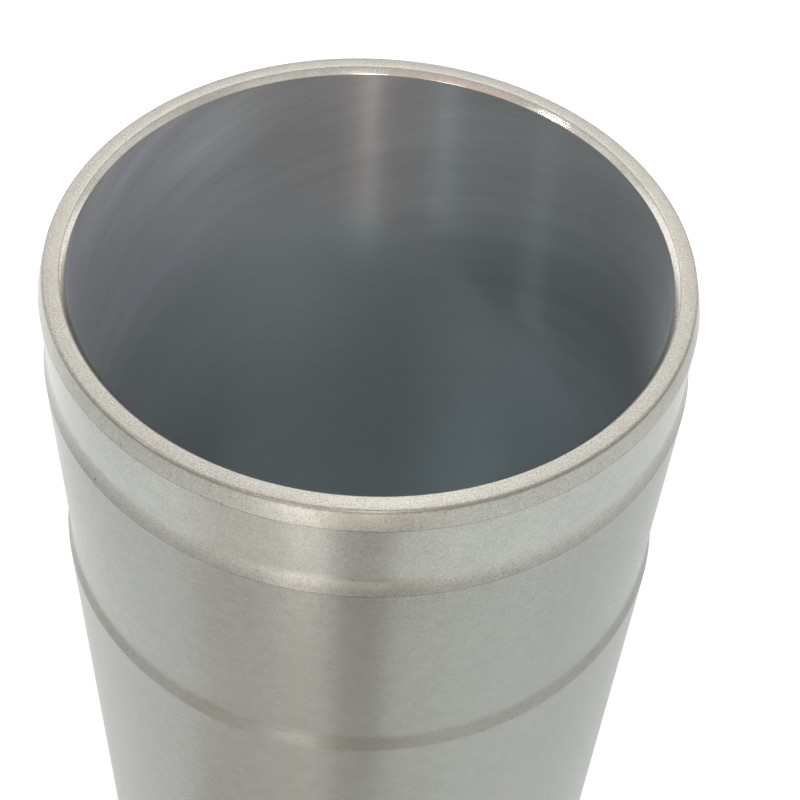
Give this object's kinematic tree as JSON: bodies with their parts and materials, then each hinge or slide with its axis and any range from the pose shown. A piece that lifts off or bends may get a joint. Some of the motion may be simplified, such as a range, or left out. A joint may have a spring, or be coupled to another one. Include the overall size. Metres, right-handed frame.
{
  "type": "cylinder liner",
  "caption": "Turned cast-iron cylinder liner: a sleeve with a honed bore, a stepped lead-in skirt end and a collar at the other end.",
  "frame": {"origin": "centre of the standing face, which is the collar's end face, at the base of the part", "axes": "+Z along the axis of the bore, from the collar end up to the skirt end; X and Y are any two directions across it, because the part is turned"},
  "size_m": [0.131, 0.131, 0.23],
  "materials": {
    "cast_iron": "fine-turned and ground grey iron, with a darker honed bore"
  },
  "bodies": {
    "root": {"cylinder_liner": "cast_iron"}
  },
  "joints": []
}
